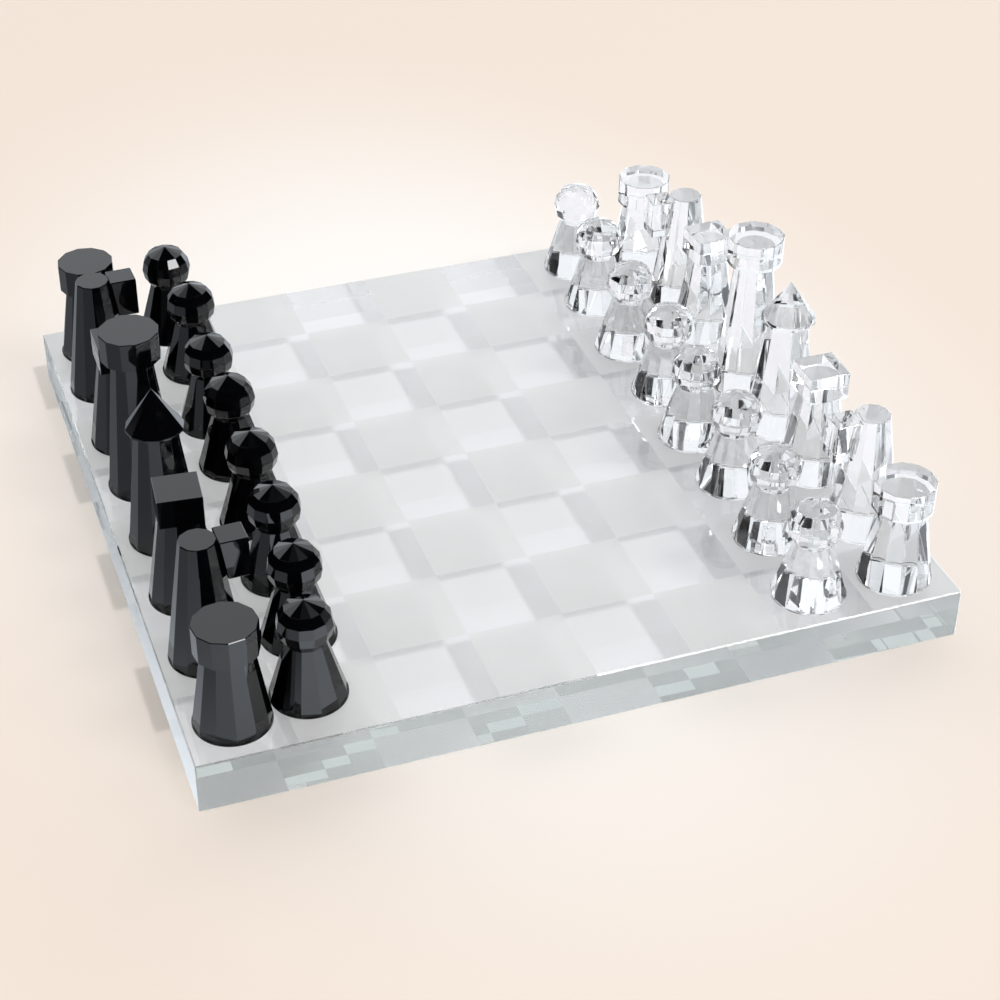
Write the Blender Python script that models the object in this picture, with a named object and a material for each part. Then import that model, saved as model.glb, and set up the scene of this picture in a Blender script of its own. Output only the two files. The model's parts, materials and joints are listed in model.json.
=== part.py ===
"""A crystal chess set: a thick clear slab for a board and 32 faceted crystal men standing on it.

The board is one slab with ground chamfers. Each man is one solid of crystal: a taper cut with
twelve flats on a round base, carrying a drum (rook, king), a cone (queen), a square block (bishop),
a side block (knight) or a faceted ball (pawn). Black men stand on the -X side, clear men on the +X side.
The origin is at the middle of the board's underside, +X towards the clear men, +Z up.
"""

import math

import bmesh
import bpy
from mathutils import Matrix, Vector

MM = 0.001

# Board
SQUARES = 8
BOARD_SIDE = 350 * MM
BOARD_HEIGHT = 25 * MM
BOARD_CORNER_CUT = 0.6 * MM
BOARD_TOP_CHAMFER = 0.6 * MM
BOARD_UNDER_CHAMFER = 0.4 * MM
SQUARE = BOARD_SIDE / SQUARES

# What every man shares
REST_GAP = 0.3 * MM
FLATS = 12
LIP_SIDES = 24
LIP_RADIUS = 17 * MM
LIP_HEIGHT = 0.8 * MM
HEAD_RADIUS = 14 * MM
HEAD_HEIGHT = 14 * MM

# Rook and king: a drum on the taper
ROOK_HEIGHT = 52 * MM
ROOK_NECK_RADIUS = 11.0 * MM
KING_HEIGHT = 85 * MM
KING_NECK_RADIUS = 9.45 * MM

# Queen: a cone with a thin straight rim
QUEEN_HEIGHT = 81 * MM
QUEEN_NECK_HEIGHT = 60.5 * MM
QUEEN_NECK_RADIUS = 9.7 * MM
QUEEN_RIM_RADIUS = 13.4 * MM
QUEEN_RIM_HEIGHT = 1.0 * MM

# Bishop: a square block, with the taper's top ending just inside it
BISHOP_HEIGHT = 58.5 * MM
BISHOP_NECK_RADIUS = 9.8 * MM
BISHOP_BLOCK_WIDTH = 20 * MM

# Knight: a block bonded to a flat ground down one side of the taper
KNIGHT_HEIGHT = 61.5 * MM
KNIGHT_TOP_RADIUS = 8.2 * MM
KNIGHT_BLOCK_BOTTOM = 42 * MM
KNIGHT_BLOCK_WIDTH = 12.5 * MM
KNIGHT_BLOCK_REACH = 20.4 * MM
KNIGHT_BOND_AT_TOP = 7.5 * MM

# Pawn: a ball whose faces lie on bands between these angles from its top
PAWN_BALL_CENTRE = 37.8 * MM
PAWN_BALL_RADIUS = 12.3 * MM
PAWN_BANDS = (45.0, 67.5, 90.0, 112.5, 135.0)

BLEND_IN = 1.0 * MM

# Where the men stand: rank of the officers and of the pawns, counted in squares from the board's middle
OFFICER_RANK = 3.5
PAWN_RANK = 2.5
FILES = "abcdefgh"
OFFICERS = ("rook", "knight", "bishop", "queen", "king", "bishop", "knight", "rook")

# How each man was set down by hand: mm off its square's middle along X and Y, and degrees it is turned
SET_DOWN = {
    "black_rook_a": (-0.5, 1.0, 8.0),
    "black_knight_b": (-0.5, 2.0, 1.8),
    "black_bishop_c": (0.5, 1.5, -5.2),
    "black_queen": (1.0, 3.0, 14.0),
    "black_king": (0.5, 4.0, -13.0),
    "black_bishop_f": (0.0, 0.0, 0.0),
    "black_knight_g": (-1.0, 6.0, 1.8),
    "black_rook_h": (1.5, -1.0, -10.0),
    "black_pawn_a": (-10.0, 7.0, -11.0),
    "black_pawn_b": (-4.0, 1.5, -14.0),
    "black_pawn_c": (-1.5, 1.5, -14.5),
    "black_pawn_d": (-0.5, 1.5, -5.0),
    "black_pawn_e": (1.0, 6.0, -2.0),
    "black_pawn_f": (0.0, 0.5, 14.0),
    "black_pawn_g": (3.0, 7.5, -9.5),
    "black_pawn_h": (-0.5, 4.0, 10.5),
    "clear_rook_a": (-1.5, -0.5, -5.0),
    "clear_knight_b": (1.5, -5.0, 0.0),
    "clear_bishop_c": (-0.5, -1.5, -0.7),
    "clear_queen": (1.5, -4.5, 4.5),
    "clear_king": (1.5, -8.0, -1.0),
    "clear_bishop_f": (2.0, 1.5, 2.0),
    "clear_knight_g": (4.0, -6.5, -2.0),
    "clear_rook_h": (-1.5, -8.0, 5.0),
    "clear_pawn_a": (0.0, 0.0, 13.0),
    "clear_pawn_b": (1.5, 1.0, 12.5),
    "clear_pawn_c": (3.0, 2.5, -9.0),
    "clear_pawn_d": (1.0, 0.5, 5.5),
    "clear_pawn_e": (4.0, -1.5, 4.5),
    "clear_pawn_f": (2.0, -0.5, -10.0),
    "clear_pawn_g": (3.0, 3.0, 5.0),
    "clear_pawn_h": (6.0, -1.5, -13.0),
}

# Colour, roughness, transmission
FINISHES = {
    "board_crystal": ((0.90, 0.93, 0.91, 1.0), 0.05, 1.0),
    "clear_crystal": ((0.97, 0.98, 0.98, 1.0), 0.02, 1.0),
    "black_crystal": ((0.006, 0.006, 0.008, 1.0), 0.03, 0.0),
}
CRYSTAL_IOR = 1.52


def clear_scene():
    for scene_object in list(bpy.data.objects):
        bpy.data.objects.remove(scene_object)


def crystal(name):
    """The Principled material of this name, made once."""
    if name in bpy.data.materials:
        return bpy.data.materials[name]
    colour, roughness, transmission = FINISHES[name]
    material = bpy.data.materials.new(name)
    material.use_nodes = True
    shader = material.node_tree.nodes["Principled BSDF"]
    shader.inputs["Base Color"].default_value = colour
    shader.inputs["Roughness"].default_value = roughness
    shader.inputs["Metallic"].default_value = 0.0
    shader.inputs["IOR"].default_value = CRYSTAL_IOR
    shader.inputs["Transmission Weight"].default_value = transmission
    return material


def add_object(name, shape, material_name):
    """A scene object made from a bmesh, which is freed."""
    bmesh.ops.recalc_face_normals(shape, faces=shape.faces[:])
    mesh = bpy.data.meshes.new(name)
    shape.to_mesh(mesh)
    shape.free()
    new_object = bpy.data.objects.new(name, mesh)
    new_object.data.materials.append(crystal(material_name))
    bpy.context.scene.collection.objects.link(new_object)
    return new_object


def ring(shape, sides, radius, height):
    """A level regular polygon round the Z axis. A twelve-sided one has the middle of an edge towards +X."""
    step = 2 * math.pi / sides
    start = math.pi / FLATS
    corners = []
    for i in range(sides):
        angle = start + i * step
        place = (radius * math.cos(angle), radius * math.sin(angle), height)
        corners.append(shape.verts.new(place))
    return corners


def band(shape, lower, upper):
    """Side faces between two rings with the same number of corners."""
    count = len(lower)
    for i in range(count):
        j = (i + 1) % count
        shape.faces.new((lower[i], lower[j], upper[j], upper[i]))


def cone(shape, lower, tip_height):
    """Faces from a ring up to a point on the axis."""
    tip = shape.verts.new((0, 0, tip_height))
    for i in range(len(lower)):
        shape.faces.new((lower[i], lower[(i + 1) % len(lower)], tip))


def taper(shape, top_radius, top_height):
    """The round lip at the base and the twelve flats above it. Returns the top ring, left open."""
    foot = ring(shape, LIP_SIDES, LIP_RADIUS, 0)
    lip = ring(shape, LIP_SIDES, LIP_RADIUS, LIP_HEIGHT)
    shape.faces.new(list(reversed(foot)))
    band(shape, foot, lip)
    per_flat = LIP_SIDES // FLATS
    corners = lip[::per_flat]
    for i in range(FLATS):
        arc = [lip[(i * per_flat + k) % LIP_SIDES] for k in range(per_flat + 1)]
        shape.faces.new(arc)
    top = ring(shape, FLATS, top_radius, top_height)
    band(shape, corners, top)
    return top


def drum_man(height, neck_radius):
    """Rook or king: the taper with a twelve-sided drum on it."""
    shape = bmesh.new()
    neck = taper(shape, neck_radius, height - HEAD_HEIGHT)
    under = ring(shape, FLATS, HEAD_RADIUS, height - HEAD_HEIGHT)
    over = ring(shape, FLATS, HEAD_RADIUS, height)
    band(shape, neck, under)
    band(shape, under, over)
    shape.faces.new(over)
    return shape


def rook():
    return drum_man(ROOK_HEIGHT, ROOK_NECK_RADIUS)


def king():
    return drum_man(KING_HEIGHT, KING_NECK_RADIUS)


def queen():
    """The taper with a twelve-sided cone on it."""
    shape = bmesh.new()
    neck = taper(shape, QUEEN_NECK_RADIUS, QUEEN_NECK_HEIGHT)
    under = ring(shape, FLATS, QUEEN_RIM_RADIUS, QUEEN_NECK_HEIGHT)
    rim = ring(shape, FLATS, QUEEN_RIM_RADIUS, QUEEN_NECK_HEIGHT + QUEEN_RIM_HEIGHT)
    band(shape, neck, under)
    band(shape, under, rim)
    cone(shape, rim, QUEEN_HEIGHT)
    return shape


def pawn():
    """The taper with a faceted ball on it: its lowest ring is the taper's top."""
    angles = [math.radians(a) for a in reversed(PAWN_BANDS)]
    heights = [PAWN_BALL_CENTRE + PAWN_BALL_RADIUS * math.cos(a) for a in angles]
    radii = [PAWN_BALL_RADIUS * math.sin(a) for a in angles]
    shape = bmesh.new()
    below = taper(shape, radii[0], heights[0])
    for radius, height in zip(radii[1:], heights[1:]):
        above = ring(shape, FLATS, radius, height)
        band(shape, below, above)
        below = above
    cone(shape, below, PAWN_BALL_CENTRE + PAWN_BALL_RADIUS)
    return shape


def plain_taper(top_radius, top_height):
    """The taper closed with a level top."""
    shape = bmesh.new()
    shape.faces.new(taper(shape, top_radius, top_height))
    return shape


def box_between(low, high):
    """A closed box between two opposite corners."""
    shape = bmesh.new()
    size = Vector(high) - Vector(low)
    middle = (Vector(high) + Vector(low)) / 2
    place = Matrix.Translation(middle) @ Matrix.Diagonal((*size, 1))
    bmesh.ops.create_cube(shape, size=1, matrix=place)
    return shape


def fused(first, second):
    """One closed mesh from two overlapping ones, by a Boolean union."""
    body = add_object("body", first, "clear_crystal")
    addition = add_object("addition", second, "clear_crystal")
    union = body.modifiers.new("Union", "BOOLEAN")
    union.operation = "UNION"
    union.solver = "EXACT"
    union.object = addition
    bpy.context.view_layer.update()
    depsgraph = bpy.context.evaluated_depsgraph_get()
    shape = bmesh.new()
    shape.from_mesh(body.evaluated_get(depsgraph).data)
    bpy.data.objects.remove(body)
    bpy.data.objects.remove(addition)
    return shape


def bishop():
    """The taper with a square block on it."""
    block_bottom = BISHOP_HEIGHT - HEAD_HEIGHT
    half = BISHOP_BLOCK_WIDTH / 2
    block = box_between((-half, -half, block_bottom), (half, half, BISHOP_HEIGHT))
    return fused(plain_taper(BISHOP_NECK_RADIUS, block_bottom + BLEND_IN), block)


def knight():
    """The taper with a block bonded to its +X side, tops level. The bond follows the taper's slope."""
    slope = math.cos(math.pi / FLATS) * (LIP_RADIUS - KNIGHT_TOP_RADIUS) / (KNIGHT_HEIGHT - LIP_HEIGHT)
    bond_at_bottom = KNIGHT_BOND_AT_TOP + slope * (KNIGHT_HEIGHT - KNIGHT_BLOCK_BOTTOM)
    half = KNIGHT_BLOCK_WIDTH / 2
    low = (KNIGHT_BOND_AT_TOP, -half, KNIGHT_BLOCK_BOTTOM)
    high = (KNIGHT_BLOCK_REACH, half, KNIGHT_HEIGHT)
    block = box_between(low, high)
    for corner in block.verts:
        if corner.co.x < KNIGHT_BLOCK_REACH - BLEND_IN and corner.co.z < KNIGHT_HEIGHT - BLEND_IN:
            corner.co.x = bond_at_bottom
    return fused(plain_taper(KNIGHT_TOP_RADIUS, KNIGHT_HEIGHT), block)


def slab_outline(shape, inset, height):
    """The board's outline at one level: a square with its corners cut off."""
    half = BOARD_SIDE / 2 - inset
    flat = BOARD_SIDE / 2 - BOARD_CORNER_CUT - inset * math.tan(math.pi / 8)
    outline = []
    for quarter in range(4):
        turn = Matrix.Rotation(quarter * math.pi / 2, 4, "Z")
        for corner in (Vector((half, -flat, height)), Vector((half, flat, height))):
            outline.append(shape.verts.new(turn @ corner))
    return outline


def board():
    """The slab, resting on the XY plane."""
    shape = bmesh.new()
    levels = [
        slab_outline(shape, BOARD_UNDER_CHAMFER, 0),
        slab_outline(shape, 0, BOARD_UNDER_CHAMFER),
        slab_outline(shape, 0, BOARD_HEIGHT - BOARD_TOP_CHAMFER),
        slab_outline(shape, BOARD_TOP_CHAMFER, BOARD_HEIGHT),
    ]
    for below, above in zip(levels, levels[1:]):
        band(shape, below, above)
    shape.faces.new(list(reversed(levels[0])))
    shape.faces.new(levels[-1])
    return add_object("board", shape, "board_crystal")


MAKERS = {"rook": rook, "knight": knight, "bishop": bishop, "queen": queen, "king": king, "pawn": pawn}


def man_name(colour, kind, file):
    """Kings and queens are single; the others carry their file's letter."""
    return f"{colour}_{kind}" if kind in ("king", "queen") else f"{colour}_{kind}_{file}"


def set_down(name, kind, material_name, side, rank, file_number, parent):
    """One man on its square, with a knight's block turned towards the other side."""
    off_x, off_y, turned = SET_DOWN[name]
    man = add_object(name, MAKERS[kind](), material_name)
    man.parent = parent
    x = side * rank * SQUARE + off_x * MM
    y = (file_number - (SQUARES - 1) / 2) * SQUARE + off_y * MM
    man.location = (x, y, BOARD_HEIGHT + REST_GAP)
    facing = math.pi if side > 0 else 0.0
    man.rotation_euler = (0, 0, facing + math.radians(turned))


def army(colour, side, parent):
    """The sixteen men of one colour; side is -1 or +1 along X."""
    for file_number, (file, officer) in enumerate(zip(FILES, OFFICERS)):
        for kind, rank in ((officer, OFFICER_RANK), ("pawn", PAWN_RANK)):
            name = man_name(colour, kind, file)
            set_down(name, kind, f"{colour}_crystal", side, rank, file_number, parent)


def main():
    clear_scene()
    chess_set = bpy.data.objects.new("chess_set", None)
    bpy.context.scene.collection.objects.link(chess_set)
    slab = board()
    slab.parent = chess_set
    army("black", -1, chess_set)
    army("clear", 1, chess_set)


main()
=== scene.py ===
"""Looks for the crystal chess set: cut glass men, a frosted and polished glass board, soft studio light."""

import json
import math

import bmesh
import bpy
from mathutils import Matrix, Vector

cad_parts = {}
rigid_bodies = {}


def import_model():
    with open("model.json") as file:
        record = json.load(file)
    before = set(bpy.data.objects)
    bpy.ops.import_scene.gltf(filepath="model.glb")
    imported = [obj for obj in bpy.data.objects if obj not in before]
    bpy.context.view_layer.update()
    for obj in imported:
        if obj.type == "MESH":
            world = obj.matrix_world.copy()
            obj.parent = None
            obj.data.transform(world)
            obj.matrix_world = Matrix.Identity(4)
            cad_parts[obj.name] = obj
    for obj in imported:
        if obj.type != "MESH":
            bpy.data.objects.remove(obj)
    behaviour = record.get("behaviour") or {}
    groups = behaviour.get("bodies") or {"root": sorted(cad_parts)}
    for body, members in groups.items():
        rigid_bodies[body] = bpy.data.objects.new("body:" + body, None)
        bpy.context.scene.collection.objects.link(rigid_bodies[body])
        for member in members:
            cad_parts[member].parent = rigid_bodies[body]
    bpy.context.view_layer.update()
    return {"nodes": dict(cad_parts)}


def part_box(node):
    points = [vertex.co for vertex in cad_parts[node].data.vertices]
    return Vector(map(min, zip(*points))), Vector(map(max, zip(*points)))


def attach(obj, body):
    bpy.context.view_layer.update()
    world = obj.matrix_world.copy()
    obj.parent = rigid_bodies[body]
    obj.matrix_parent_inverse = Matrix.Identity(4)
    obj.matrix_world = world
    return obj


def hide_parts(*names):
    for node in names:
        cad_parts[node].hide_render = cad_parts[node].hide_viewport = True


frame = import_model()

MM = 0.001

# Shared by every man
FLATS = 12
LIP_SIDES = 96
LIP_RADIUS = 17 * MM
LIP_HEIGHT = 0.8 * MM
FOOT_CHAMFER = 0.25 * MM
HEAD_RADIUS = 14 * MM
HEAD_HEIGHT = 14 * MM

# Ground edges
RIM_BEVEL = 0.3 * MM
KNIGHT_BEVEL = 0.4 * MM
BLOCK_BEVEL = 0.22 * MM
FLAT_BEVEL = 0.09 * MM
BALL_BEVEL = 0.06 * MM

ROOK_HEIGHT = 52 * MM
ROOK_NECK_RADIUS = 11.0 * MM
KING_HEIGHT = 85 * MM
KING_NECK_RADIUS = 9.45 * MM
QUEEN_HEIGHT = 81 * MM
QUEEN_NECK_HEIGHT = 60.5 * MM
QUEEN_NECK_RADIUS = 9.7 * MM
QUEEN_RIM_RADIUS = 13.4 * MM
QUEEN_RIM_HEIGHT = 1.0 * MM
BISHOP_HEIGHT = 58.5 * MM
BISHOP_NECK_RADIUS = 9.8 * MM
BISHOP_BLOCK_WIDTH = 20 * MM
KNIGHT_HEIGHT = 61.5 * MM
KNIGHT_TOP_RADIUS = 8.2 * MM
KNIGHT_BLOCK_BOTTOM = 42 * MM
KNIGHT_BLOCK_WIDTH = 12.5 * MM
KNIGHT_BLOCK_REACH = 20.4 * MM
KNIGHT_BOND_AT_TOP = 7.7 * MM
PAWN_BALL_CENTRE = 37.8 * MM
PAWN_BALL_RADIUS = 12.3 * MM
PAWN_BANDS = (45.0, 67.5, 90.0, 112.5, 135.0)
BLEND_IN = 1.0 * MM

# Board
SQUARES = 8
TOP_CHAMFER = 0.6 * MM
UNDER_CHAMFER = 0.4 * MM
CORNER_CUT = 0.6 * MM

# Glass
GLASS_IOR = 1.52
CLEAR_COLOUR = (0.985, 0.99, 0.99)
POLISHED_COLOUR = (0.99, 0.995, 0.99)
FROSTED_COLOUR = (0.79, 0.795, 0.78)
# Painted light: the frosted squares seen from inside the slab are lighter than from outside, to set how
# bright their images in the side faces look
FROSTED_INSIDE_PAINTED_LIGHT = (0.97, 0.98, 0.965)
FROSTED_CLEARNESS = 0.5
POLISHED_SHADOW = (0.96, 0.965, 0.96)
FROSTED_SHADOW = (0.50, 0.505, 0.495)
MAN_SHADOW = (0.66, 0.66, 0.69)
BLACK_DEEP = (0.0008, 0.0009, 0.0013)
BLACK_HAZED = (0.002, 0.0022, 0.003)
BODY_COLOUR = (0.80, 0.82, 0.80)
BODY_DENSITY = 7
HAZE_SCALE = 60.0
HAZE_FROM_TO = (0.45, 0.8)
MAN_HAZE = 0.012
SLAB_HAZE = 0.02
BLACK_HAZE_SCALE = 90.0
BLACK_HAZE_FROM_TO = (0.4, 0.75)
BLACK_ROUGHNESS = (0.015, 0.07)
LEVEL_FACE = 0.9
GRAIN_SCALE = 900.0
GRAIN_DEPTH = 0.05 * MM
GRAIN_STRENGTH = 0.1
GRAIN_ROUGHNESS = 0.05
PATCH_SCALE = 40.0
FROSTED_ROUGHNESS = (0.42, 0.48)

# Degrees each man is turned, apart from which side it faces
TURNED = {
    "black_rook_a": 8.0, "black_knight_b": 1.8, "black_bishop_c": -5.2, "black_queen": 14.0,
    "black_king": -13.0, "black_bishop_f": 0.0, "black_knight_g": 1.8, "black_rook_h": -10.0,
    "black_pawn_a": -11.0, "black_pawn_b": -14.0, "black_pawn_c": -14.5, "black_pawn_d": -5.0,
    "black_pawn_e": -2.0, "black_pawn_f": 14.0, "black_pawn_g": -9.5, "black_pawn_h": 10.5,
    "clear_rook_a": -5.0, "clear_knight_b": 0.0, "clear_bishop_c": -0.7, "clear_queen": 4.5,
    "clear_king": -1.0, "clear_bishop_f": 2.0, "clear_knight_g": -2.0, "clear_rook_h": 5.0,
    "clear_pawn_a": 13.0, "clear_pawn_b": 12.5, "clear_pawn_c": -9.0, "clear_pawn_d": 5.5,
    "clear_pawn_e": 4.5, "clear_pawn_f": -10.0, "clear_pawn_g": 5.0, "clear_pawn_h": -13.0,
}

# Camera
CAMERA_PLACE = Vector((-0.27993, -0.82824, 0.63365))
CAMERA_YAW = 19.778
CAMERA_PITCH = 36.078
CAMERA_ROLL = 0.462
CAMERA_LENS = 78.86

# Softbox, as three lamps: elevation, side, radiance, and how the names of what shades it begin.
# Shadow rays go straight through the slab where real ones bend down, so the lamp it shades stands higher.
KEY_AZIMUTH = -57
KEY_DISTANCE = 24
KEYS = {
    "key_on_black": (46.7, 10.0, 3.5, "cut_black"),
    "key_on_clear": (46.7, 3.0, 44, "cut_clear"),
    "key_on_slab": (63.2, 2.0, 222, "glass_board"),
}
# Its image in the glass: azimuth and elevation, distance, width and height, radiance
IMAGE_TOWARD = (-52, 41.5)
IMAGE_DISTANCE = 12
IMAGE_SIZE = (4.2, 3.8)
IMAGE_RADIANCE = 15

# Studio
BACKDROP_COLOUR = (0.90, 0.79, 0.70)
STUDIO_COLOUR = (0.93, 0.96, 1.0)
STUDIO_DIM = 0.004
SEEN_THROUGH_GLASS = 0.72
# Walls: full below the first height and gone above the second, both sines of the elevation
WALL_FROM_TO = (0.05, 0.09)
WALL_RADIANCE = 0.4
# Soft panels: azimuth, elevation, full inside this angle, gone outside this angle, radiance
PANELS = (
    (85, 26, 42, 46, 1.42),
    (200, 45, 12, 17, 0.5),
    (355, 62, 10, 15, 0.6),
    (250, 80, 10, 24, 0.15),
    (180, 3, 12, 18, 1.1),
)

# Floor: cream, with a pool of light painted whiter round the set, which only the camera sees
FLOOR_DROP = 0.4 * MM
FLOOR_RADIUS = 6
FLOOR_SIDES = 96
FLOOR_FADE = (2.0, 4.5)
FLOOR_PAINTED_GLOW = (0.935, 0.90, 0.86)
FLOOR_CREAM = (0.85, 0.732, 0.636)
FLOOR_NEUTRAL = (0.905, 0.89, 0.915)
GLOW_CENTRE = (0.011, 0.06, 0)
GLOW_LENGTH = 1.5
GLOW_WHITE = 0.084
GLOW_CREAM = 0.32
# Painted reflection: mirrors see the floor glow, though it is no lamp
MIRRORED_TINT = (0.86, 0.92, 1.0)
MIRRORED_SLANT = -0.6
MIRRORED_FROM_TO = (-0.25, 0.10)
MIRRORED_GLOW = (0.5, 2.2)


# ---------------------------------------------------------------- camera and studio


def make_camera():
    yaw, pitch, roll = (math.radians(a) for a in (CAMERA_YAW, CAMERA_PITCH, CAMERA_ROLL))
    ahead = Vector((math.sin(yaw) * math.cos(pitch), math.cos(yaw) * math.cos(pitch), -math.sin(pitch)))
    level = Vector((math.cos(yaw), -math.sin(yaw), 0))
    above = level.cross(ahead)
    right = math.cos(roll) * level + math.sin(roll) * above
    up = math.cos(roll) * above - math.sin(roll) * level
    camera = bpy.data.objects.new("camera", bpy.data.cameras.new("camera"))
    camera.data.lens = CAMERA_LENS
    camera.data.sensor_width = 36
    turn = Matrix((right, up, -ahead)).transposed().to_4x4()
    camera.matrix_world = Matrix.Translation(CAMERA_PLACE) @ turn
    bpy.context.scene.collection.objects.link(camera)
    bpy.context.scene.camera = camera


def area_light(name, direction, distance, width, height, radiance):
    """A soft light aimed at the set. Radiance times area times pi is its power."""
    light = bpy.data.lights.new(name, "AREA")
    light.shape = "RECTANGLE"
    light.size = width
    light.size_y = height
    light.energy = radiance * width * height * math.pi
    lamp = bpy.data.objects.new(name, light)
    lamp.location = direction * distance
    lamp.rotation_euler = direction.to_track_quat("Z", "Y").to_euler()
    lamp.visible_camera = False
    bpy.context.scene.collection.objects.link(lamp)
    return lamp


class Nodes:
    """Short calls to build a node tree."""

    def __init__(self, tree):
        self.tree = tree
        tree.nodes.clear()

    def add(self, kind, **settings):
        node = self.tree.nodes.new(kind)
        for key, value in settings.items():
            setattr(node, key, value)
        return node

    def link(self, out_socket, in_socket):
        self.tree.links.new(out_socket, in_socket)

    def math(self, operation, a, b=0.0):
        node = self.add("ShaderNodeMath", operation=operation)
        for socket, value in zip(node.inputs, (a, b)):
            if isinstance(value, (int, float)):
                socket.default_value = value
            else:
                self.link(value, socket)
        return node.outputs[0]

    def ramp(self, value, low, high, out_low, out_high):
        node = self.add("ShaderNodeMapRange", interpolation_type="SMOOTHSTEP")
        self.link(value, node.inputs["Value"])
        limits = zip(("From Min", "From Max", "To Min", "To Max"), (low, high, out_low, out_high))
        for key, number in limits:
            node.inputs[key].default_value = number
        return node.outputs["Result"]

    def blend(self, share, a, b):
        """A mix of two colours, each plain or a socket."""
        node = self.add("ShaderNodeMix", data_type="RGBA")
        self.link(share, node.inputs["Factor"])
        for socket, value in ((node.inputs[6], a), (node.inputs[7], b)):
            if isinstance(value, tuple):
                socket.default_value = (*value, 1)
            else:
                self.link(value, socket)
        return node.outputs[2]

    def noise(self, vector, scale, detail=2.0, roughness=0.5):
        node = self.add("ShaderNodeTexNoise")
        self.link(vector, node.inputs["Vector"])
        node.inputs["Scale"].default_value = scale
        node.inputs["Detail"].default_value = detail
        node.inputs["Roughness"].default_value = roughness
        return node.outputs["Fac"]


def direction_of(azimuth, elevation):
    """The direction at this azimuth, counted from +X towards +Y, and elevation, in degrees."""
    a, e = math.radians(azimuth), math.radians(elevation)
    return Vector((math.cos(a) * math.cos(e), math.sin(a) * math.cos(e), math.sin(e)))


def make_world():
    """A dim studio with walls and soft panels round the set; the camera itself sees plain cream."""
    world = bpy.data.worlds.new("studio")
    bpy.context.scene.world = world
    world.use_nodes = True
    n = Nodes(world.node_tree)
    direction = n.add("ShaderNodeTexCoord").outputs["Generated"]
    apart = n.add("ShaderNodeSeparateXYZ")
    n.link(direction, apart.inputs[0])
    glow = n.ramp(apart.outputs["Z"], *WALL_FROM_TO, WALL_RADIANCE, STUDIO_DIM)
    for azimuth, elevation, inner, outer, radiance in PANELS:
        toward = n.add("ShaderNodeVectorMath", operation="DOT_PRODUCT")
        n.link(direction, toward.inputs[0])
        toward.inputs[1].default_value = direction_of(azimuth, elevation)
        edge = (math.cos(math.radians(outer)), math.cos(math.radians(inner)))
        glow = n.math("ADD", n.ramp(toward.outputs["Value"], *edge, 0.0, radiance), glow)
    path = n.add("ShaderNodeLightPath")
    studio = n.add("ShaderNodeBackground")
    dimmed = n.ramp(path.outputs["Is Transmission Ray"], 0, 1, 1.0, SEEN_THROUGH_GLASS)
    n.link(n.math("MULTIPLY", glow, dimmed), studio.inputs["Strength"])
    studio.inputs["Color"].default_value = (*STUDIO_COLOUR, 1)
    seen = n.add("ShaderNodeBackground")
    seen.inputs["Color"].default_value = (*BACKDROP_COLOUR, 1)
    mix = n.add("ShaderNodeMixShader")
    n.link(path.outputs["Is Camera Ray"], mix.inputs["Fac"])
    n.link(studio.outputs[0], mix.inputs[1])
    n.link(seen.outputs[0], mix.inputs[2])
    n.link(mix.outputs[0], n.add("ShaderNodeOutputWorld").inputs["Surface"])


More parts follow.
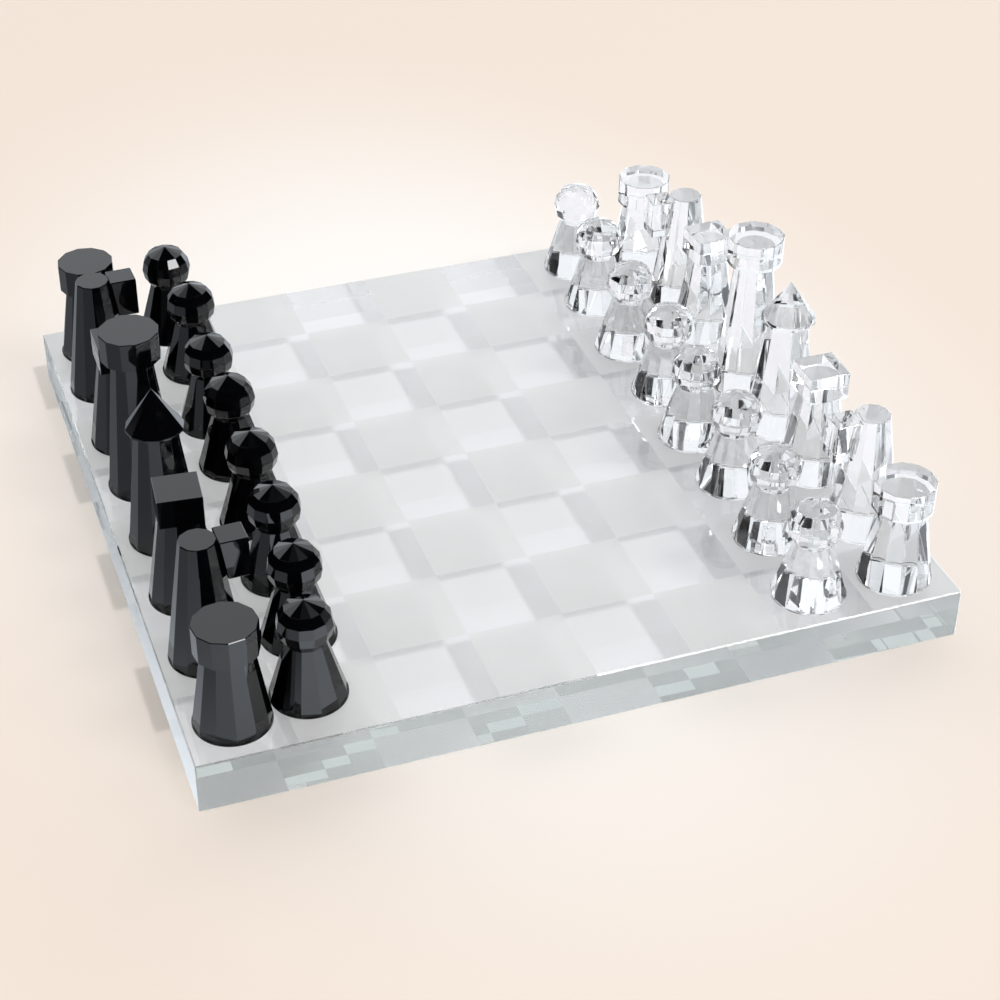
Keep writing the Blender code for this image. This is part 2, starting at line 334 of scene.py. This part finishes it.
def make_floor():
    """A wide level floor, cream, with a pool of light painted white round the set, and fading into the
    backdrop far away.

    Matt surfaces see it in another shade than the camera does, and mirrors see a painted glow on it,
    brighter towards +X and -Y.
    """
    shape = bmesh.new()
    bmesh.ops.create_circle(shape, cap_ends=True, segments=FLOOR_SIDES, radius=FLOOR_RADIUS)
    mesh = bpy.data.meshes.new("floor")
    shape.to_mesh(mesh)
    shape.free()
    floor = bpy.data.objects.new("floor", mesh)
    floor.location.z = -FLOOR_DROP
    bpy.context.scene.collection.objects.link(floor)
    material = bpy.data.materials.new("floor")
    material.use_nodes = True
    n = Nodes(material.node_tree)
    place = n.add("ShaderNodeTexCoord").outputs["Object"]
    offset = n.add("ShaderNodeVectorMath", operation="SUBTRACT")
    n.link(place, offset.inputs[0])
    offset.inputs[1].default_value = GLOW_CENTRE
    shrunk = n.add("ShaderNodeVectorMath", operation="MULTIPLY")
    n.link(offset.outputs[0], shrunk.inputs[0])
    shrunk.inputs[1].default_value = (1, 1 / GLOW_LENGTH, 1)
    distance = n.add("ShaderNodeVectorMath", operation="LENGTH")
    n.link(shrunk.outputs[0], distance.inputs[0])
    # Painted light: a pool of light painted into the floor's colour, white round the set and cream further
    # out
    blend = n.ramp(distance.outputs["Value"], GLOW_WHITE, GLOW_CREAM, 0.0, 1.0)
    colour = n.blend(blend, FLOOR_PAINTED_GLOW, FLOOR_CREAM)
    path = n.add("ShaderNodeLightPath")
    shader = n.add("ShaderNodeBsdfPrincipled")
    n.link(n.blend(path.outputs["Is Camera Ray"], FLOOR_NEUTRAL, colour), shader.inputs["Base Color"])
    shader.inputs["Roughness"].default_value = 0.7
    shader.inputs["Specular IOR Level"].default_value = 0.0
    # Painted reflection: the floor glows for mirrors, brighter towards +X and -Y, though it is no lamp
    painted_mirror_glow = n.add("ShaderNodeEmission")
    apart = n.add("ShaderNodeSeparateXYZ")
    n.link(place, apart.inputs[0])
    ahead = n.math("ADD", apart.outputs["X"], n.math("MULTIPLY", apart.outputs["Y"], MIRRORED_SLANT))
    n.link(n.ramp(ahead, *MIRRORED_FROM_TO, *MIRRORED_GLOW), painted_mirror_glow.inputs["Strength"])
    painted_mirror_glow.inputs["Color"].default_value = (*MIRRORED_TINT, 1)
    mix = n.add("ShaderNodeMixShader")
    by_mirror = n.math("SUBTRACT", path.outputs["Is Glossy Ray"], path.outputs["Is Transmission Ray"])
    n.link(by_mirror, mix.inputs["Fac"])
    n.link(shader.outputs[0], mix.inputs[1])
    n.link(painted_mirror_glow.outputs[0], mix.inputs[2])
    far = n.add("ShaderNodeMixShader")
    n.link(n.ramp(distance.outputs["Value"], *FLOOR_FADE, 0.0, 1.0), far.inputs["Fac"])
    n.link(mix.outputs[0], far.inputs[1])
    n.link(n.add("ShaderNodeBsdfTransparent").outputs[0], far.inputs[2])
    n.link(far.outputs[0], n.add("ShaderNodeOutputMaterial").inputs["Surface"])
    mesh.materials.append(material)


# ---------------------------------------------------------------- materials


def finish_glass(n, shader, shadow_tint):
    """Lets light reach what is behind the glass: shadow and diffuse rays go straight through."""
    path = n.add("ShaderNodeLightPath")
    clear = n.add("ShaderNodeBsdfTransparent")
    if isinstance(shadow_tint, tuple):
        clear.inputs["Color"].default_value = (*shadow_tint, 1)
    else:
        n.link(shadow_tint, clear.inputs["Color"])
    mix = n.add("ShaderNodeMixShader")
    straight = n.math("MAXIMUM", path.outputs["Is Shadow Ray"], path.outputs["Is Diffuse Ray"])
    n.link(straight, mix.inputs["Fac"])
    n.link(shader.outputs[0], mix.inputs[1])
    n.link(clear.outputs[0], mix.inputs[2])
    output = n.add("ShaderNodeOutputMaterial")
    n.link(mix.outputs[0], output.inputs["Surface"])
    return output


def glass(name):
    """A new material's nodes, the place on the object, and a clear glass shader."""
    material = bpy.data.materials.new(name)
    material.use_nodes = True
    n = Nodes(material.node_tree)
    place = n.add("ShaderNodeTexCoord").outputs["Object"]
    shader = n.add("ShaderNodeBsdfPrincipled")
    shader.inputs["Transmission Weight"].default_value = 1.0
    shader.inputs["IOR"].default_value = GLASS_IOR
    return material, n, place, shader


def clear_glass(name):
    """Cut and polished glass: faint polishing marks and handling haze."""
    material, n, place, shader = glass(name)
    shader.inputs["Base Color"].default_value = (*CLEAR_COLOUR, 1)
    haze = n.noise(place, HAZE_SCALE, 4.0, 0.6)
    n.link(n.ramp(haze, *HAZE_FROM_TO, 0.0, MAN_HAZE), shader.inputs["Roughness"])
    finish_glass(n, shader, MAN_SHADOW)
    return material


def slab_glass(name, square):
    """Thick glass, polished, with every other square of the top sand-blasted to an even fine grain."""
    material, n, place, shader = glass(name)
    squares = n.add("ShaderNodeTexChecker")
    n.link(place, squares.inputs["Vector"])
    squares.inputs["Scale"].default_value = 1 / square
    surface = n.add("ShaderNodeNewGeometry")
    facing = n.add("ShaderNodeSeparateXYZ")
    n.link(surface.outputs["Normal"], facing.inputs[0])
    level = n.math("GREATER_THAN", n.math("ABSOLUTE", facing.outputs["Z"]), LEVEL_FACE)
    apart = n.add("ShaderNodeSeparateXYZ")
    n.link(place, apart.inputs[0])
    upper = n.math("GREATER_THAN", apart.outputs["Z"], square / 4)
    frost = n.math("MULTIPLY", squares.outputs["Fac"], n.math("MULTIPLY", level, upper))
    # Painted light: frosted squares lighter when seen from inside the slab
    frosted = n.blend(surface.outputs["Backfacing"], FROSTED_COLOUR, FROSTED_INSIDE_PAINTED_LIGHT)
    n.link(n.blend(frost, POLISHED_COLOUR, frosted), shader.inputs["Base Color"])
    n.link(n.ramp(frost, 0, 1, 1.0, FROSTED_CLEARNESS), shader.inputs["Transmission Weight"])
    haze = n.ramp(n.noise(place, HAZE_SCALE, 4.0, 0.6), *HAZE_FROM_TO, 0.0, SLAB_HAZE)
    grain = n.noise(place, GRAIN_SCALE, 3.0, 0.7)
    patches = n.ramp(n.noise(place, PATCH_SCALE, 2.0, 0.5), 0.3, 0.7, *FROSTED_ROUGHNESS)
    sanded = n.math("ADD", n.ramp(grain, 0.3, 0.7, -GRAIN_ROUGHNESS, GRAIN_ROUGHNESS), patches)
    roughness = n.add("ShaderNodeMix")
    for socket, value in zip(("Factor", "A", "B"), (frost, haze, sanded)):
        n.link(value, roughness.inputs[socket])
    n.link(roughness.outputs[0], shader.inputs["Roughness"])
    bump = n.add("ShaderNodeBump")
    n.link(n.math("MULTIPLY", frost, GRAIN_STRENGTH), bump.inputs["Strength"])
    bump.inputs["Distance"].default_value = GRAIN_DEPTH
    n.link(grain, bump.inputs["Height"])
    n.link(bump.outputs[0], shader.inputs["Normal"])
    output = finish_glass(n, shader, n.blend(frost, POLISHED_SHADOW, FROSTED_SHADOW))
    inside = n.add("ShaderNodeVolumeAbsorption")
    inside.inputs["Color"].default_value = (*BODY_COLOUR, 1)
    inside.inputs["Density"].default_value = BODY_DENSITY
    n.link(inside.outputs[0], output.inputs["Volume"])
    return material


def black_glass(name):
    """Opaque black crystal: polished, with faint haze and a few fine rubs."""
    material = bpy.data.materials.new(name)
    material.use_nodes = True
    n = Nodes(material.node_tree)
    place = n.add("ShaderNodeTexCoord").outputs["Object"]
    shader = n.add("ShaderNodeBsdfPrincipled")
    haze = n.noise(place, BLACK_HAZE_SCALE, 4.0, 0.6)
    n.link(n.blend(haze, BLACK_DEEP, BLACK_HAZED), shader.inputs["Base Color"])
    shader.inputs["IOR"].default_value = GLASS_IOR
    n.link(n.ramp(haze, *BLACK_HAZE_FROM_TO, *BLACK_ROUGHNESS), shader.inputs["Roughness"])
    n.link(shader.outputs[0], n.add("ShaderNodeOutputMaterial").inputs["Surface"])
    return material


# ---------------------------------------------------------------- men


def ring(shape, sides, radius, height):
    """A level regular polygon round the Z axis; a twelve-sided one has an edge's middle towards +X."""
    start = math.pi / FLATS
    corners = []
    for i in range(sides):
        angle = start + i * 2 * math.pi / sides
        corners.append(shape.verts.new((radius * math.cos(angle), radius * math.sin(angle), height)))
    return corners


def band(shape, lower, upper):
    count = len(lower)
    for i in range(count):
        j = (i + 1) % count
        shape.faces.new((lower[i], lower[j], upper[j], upper[i]))


def cone(shape, lower, tip_height):
    tip = shape.verts.new((0, 0, tip_height))
    for i in range(len(lower)):
        shape.faces.new((lower[i], lower[(i + 1) % len(lower)], tip))


def taper(shape, top_radius, top_height):
    """The round foot and the twelve flats above it. Returns the top ring, left open."""
    foot = ring(shape, LIP_SIDES, LIP_RADIUS - FOOT_CHAMFER, 0)
    edge = ring(shape, LIP_SIDES, LIP_RADIUS, FOOT_CHAMFER)
    lip = ring(shape, LIP_SIDES, LIP_RADIUS, LIP_HEIGHT)
    shape.faces.new(list(reversed(foot)))
    band(shape, foot, edge)
    band(shape, edge, lip)
    per_flat = LIP_SIDES // FLATS
    for i in range(FLATS):
        shape.faces.new([lip[(i * per_flat + k) % LIP_SIDES] for k in range(per_flat + 1)])
    top = ring(shape, FLATS, top_radius, top_height)
    band(shape, lip[::per_flat], top)
    return top


def evaluated(mesh, kind, **settings):
    """The mesh after one modifier."""
    holder = bpy.data.objects.new("holder", mesh)
    bpy.context.scene.collection.objects.link(holder)
    modifier = holder.modifiers.new("modifier", kind)
    for key, value in settings.items():
        setattr(modifier, key, value)
    bpy.context.view_layer.update()
    depsgraph = bpy.context.evaluated_depsgraph_get()
    result = bpy.data.meshes.new_from_object(holder.evaluated_get(depsgraph))
    bpy.data.objects.remove(holder)
    return result


def bevelled(shape, rim_height, rim_bevel, flat_bevel=FLAT_BEVEL):
    """The shape's mesh: rim ground by rim_bevel, other edges by flat_bevel, and the foot left plain."""
    bmesh.ops.recalc_face_normals(shape, faces=shape.faces[:])
    mesh = bpy.data.meshes.new("shape")
    weights = shape.edges.layers.float.new("bevel_weight_edge")
    widest = max(rim_bevel, flat_bevel)
    for edge in shape.edges:
        heights = [v.co.z for v in edge.verts]
        if min(heights) > rim_height - MM and rim_bevel > 0:
            edge[weights] = rim_bevel / widest
        elif max(heights) > 2 * LIP_HEIGHT:
            edge[weights] = flat_bevel / widest
    shape.to_mesh(mesh)
    shape.free()
    return evaluated(mesh, "BEVEL", limit_method="WEIGHT", width=widest, segments=1)


def drum_man(height, neck_radius):
    shape = bmesh.new()
    neck = taper(shape, neck_radius, height - HEAD_HEIGHT)
    under = ring(shape, FLATS, HEAD_RADIUS, height - HEAD_HEIGHT)
    over = ring(shape, FLATS, HEAD_RADIUS, height)
    band(shape, neck, under)
    band(shape, under, over)
    shape.faces.new(over)
    return shape


def rook():
    return bevelled(drum_man(ROOK_HEIGHT, ROOK_NECK_RADIUS), ROOK_HEIGHT, RIM_BEVEL)


def king():
    return bevelled(drum_man(KING_HEIGHT, KING_NECK_RADIUS), KING_HEIGHT, RIM_BEVEL)


def queen():
    shape = bmesh.new()
    neck = taper(shape, QUEEN_NECK_RADIUS, QUEEN_NECK_HEIGHT)
    under = ring(shape, FLATS, QUEEN_RIM_RADIUS, QUEEN_NECK_HEIGHT)
    rim = ring(shape, FLATS, QUEEN_RIM_RADIUS, QUEEN_NECK_HEIGHT + QUEEN_RIM_HEIGHT)
    band(shape, neck, under)
    band(shape, under, rim)
    cone(shape, rim, QUEEN_HEIGHT)
    return bevelled(shape, QUEEN_HEIGHT, FLAT_BEVEL)


def pawn():
    angles = [math.radians(a) for a in reversed(PAWN_BANDS)]
    heights = [PAWN_BALL_CENTRE + PAWN_BALL_RADIUS * math.cos(a) for a in angles]
    radii = [PAWN_BALL_RADIUS * math.sin(a) for a in angles]
    shape = bmesh.new()
    below = taper(shape, radii[0], heights[0])
    for radius, height in zip(radii[1:], heights[1:]):
        above = ring(shape, FLATS, radius, height)
        band(shape, below, above)
        below = above
    cone(shape, below, PAWN_BALL_CENTRE + PAWN_BALL_RADIUS)
    return bevelled(shape, 0, 0, BALL_BEVEL)


def box_mesh(low, high, inner_bottom=None, bevel=BLOCK_BEVEL):
    """A bevelled box; inner_bottom moves the low X side's lower edge."""
    shape = bmesh.new()
    size = Vector(high) - Vector(low)
    middle = (Vector(high) + Vector(low)) / 2
    bmesh.ops.create_cube(shape, size=1, matrix=Matrix.Translation(middle) @ Matrix.Diagonal((*size, 1)))
    if inner_bottom is not None:
        for corner in shape.verts:
            if corner.co.x < middle.x and corner.co.z < middle.z:
                corner.co.x = inner_bottom
    bmesh.ops.bevel(shape, geom=shape.edges[:], offset=bevel, segments=1, profile=0.5, affect="EDGES")
    mesh = bpy.data.meshes.new("block")
    shape.to_mesh(mesh)
    shape.free()
    return mesh


def fused(body_mesh, block_mesh):
    """One closed mesh from two overlapping ones."""
    block = bpy.data.objects.new("block", block_mesh)
    bpy.context.scene.collection.objects.link(block)
    mesh = evaluated(body_mesh, "BOOLEAN", operation="UNION", solver="EXACT", object=block)
    bpy.data.objects.remove(block)
    return mesh


def plain_taper(top_radius, top_height, top_bevel):
    shape = bmesh.new()
    shape.faces.new(taper(shape, top_radius, top_height))
    return bevelled(shape, top_height, top_bevel)


def bishop():
    bottom = BISHOP_HEIGHT - HEAD_HEIGHT
    half = BISHOP_BLOCK_WIDTH / 2
    block = box_mesh((-half, -half, bottom), (half, half, BISHOP_HEIGHT))
    return fused(plain_taper(BISHOP_NECK_RADIUS, bottom + BLEND_IN, FLAT_BEVEL), block)


def knight():
    slope = math.cos(math.pi / FLATS) * (LIP_RADIUS - KNIGHT_TOP_RADIUS) / (KNIGHT_HEIGHT - LIP_HEIGHT)
    bond_at_bottom = KNIGHT_BOND_AT_TOP + slope * (KNIGHT_HEIGHT - KNIGHT_BLOCK_BOTTOM)
    half = KNIGHT_BLOCK_WIDTH / 2
    low = (KNIGHT_BOND_AT_TOP, -half, KNIGHT_BLOCK_BOTTOM)
    high = (KNIGHT_BLOCK_REACH, half, KNIGHT_HEIGHT)
    block = box_mesh(low, high, bond_at_bottom, KNIGHT_BEVEL)
    return fused(plain_taper(KNIGHT_TOP_RADIUS, KNIGHT_HEIGHT, KNIGHT_BEVEL), block)


def foot_centre(node):
    """The middle of a man's foot, from its CAD mesh."""
    low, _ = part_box(node)
    foot = [v.co for v in frame["nodes"][node].data.vertices if v.co.z < low.z + LIP_HEIGHT / 2]
    xs = [c.x for c in foot]
    ys = [c.y for c in foot]
    return Vector(((min(xs) + max(xs)) / 2, (min(ys) + max(ys)) / 2, low.z))


def make_men():
    makers = {"rook": rook, "knight": knight, "bishop": bishop, "queen": queen, "king": king, "pawn": pawn}
    materials = {
        "black": black_glass("black_crystal"),
        "clear": clear_glass("clear_crystal"),
    }
    for node, turned in TURNED.items():
        colour, kind = node.split("_")[:2]
        mesh = makers[kind]()
        mesh.name = f"cut_{node}"
        mesh.materials.clear()
        mesh.materials.append(materials[colour])
        man = bpy.data.objects.new(f"cut_{node}", mesh)
        bpy.context.scene.collection.objects.link(man)
        man.location = foot_centre(node)
        facing = math.pi if colour == "clear" else 0.0
        man.rotation_euler = (0, 0, facing + math.radians(turned))
        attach(man, node)
        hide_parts(node)


# ---------------------------------------------------------------- board


def outline(shape, half, inset, height):
    """A square with its corners cut off: eight vertices."""
    reach = half - inset
    flat = half - CORNER_CUT - inset * math.tan(math.pi / 8)
    corners = []
    for quarter in range(4):
        turn = Matrix.Rotation(quarter * math.pi / 2, 4, "Z")
        for place in (Vector((reach, -flat, height)), Vector((reach, flat, height))):
            corners.append(shape.verts.new(turn @ place))
    return corners


def make_board():
    low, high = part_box("board")
    half = high.x
    square = 2 * half / SQUARES
    shape = bmesh.new()
    levels = [
        outline(shape, half, UNDER_CHAMFER, 0),
        outline(shape, half, 0, UNDER_CHAMFER),
        outline(shape, half, 0, high.z - TOP_CHAMFER),
        outline(shape, half, TOP_CHAMFER, high.z),
    ]
    for below, above in zip(levels, levels[1:]):
        band(shape, below, above)
    shape.faces.new(list(reversed(levels[0])))
    shape.faces.new(levels[-1])
    bmesh.ops.recalc_face_normals(shape, faces=shape.faces[:])
    mesh = bpy.data.meshes.new("glass_board")
    shape.to_mesh(mesh)
    shape.free()
    mesh.materials.append(slab_glass("board_crystal", square))
    slab = bpy.data.objects.new("glass_board", mesh)
    bpy.context.scene.collection.objects.link(slab)
    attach(slab, "board")
    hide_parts("board")


def make_lamps():
    """The softbox: a lamp for each kind of thing that shades it, and its image in the glass."""
    for name, (elevation, side, radiance, shaded_by) in KEYS.items():
        lamp = area_light(name, direction_of(KEY_AZIMUTH, elevation), KEY_DISTANCE, side, side, radiance)
        lamp.visible_glossy = False
        lamp.visible_transmission = False
        lamp.light_linking.blocker_collection = bpy.data.collections.new(name)
        for ob in bpy.context.scene.objects:
            if ob.name.startswith(shaded_by):
                lamp.light_linking.blocker_collection.objects.link(ob)
    image_toward = direction_of(*IMAGE_TOWARD)
    image = area_light("key_image", image_toward, IMAGE_DISTANCE, *IMAGE_SIZE, IMAGE_RADIANCE)
    image.visible_diffuse = False


def light_paths():
    """Enough bounces for light to cross the slab and several men."""
    scene = bpy.context.scene
    scene.view_settings.view_transform = "Standard"
    scene.cycles.max_bounces = 24
    scene.cycles.transmission_bounces = 24
    scene.cycles.glossy_bounces = 12
    scene.cycles.diffuse_bounces = 3
    scene.cycles.transparent_max_bounces = 24
    scene.cycles.caustics_refractive = False
    scene.cycles.caustics_reflective = False


make_camera()
make_world()
make_floor()
make_board()
make_men()
make_lamps()
light_paths()
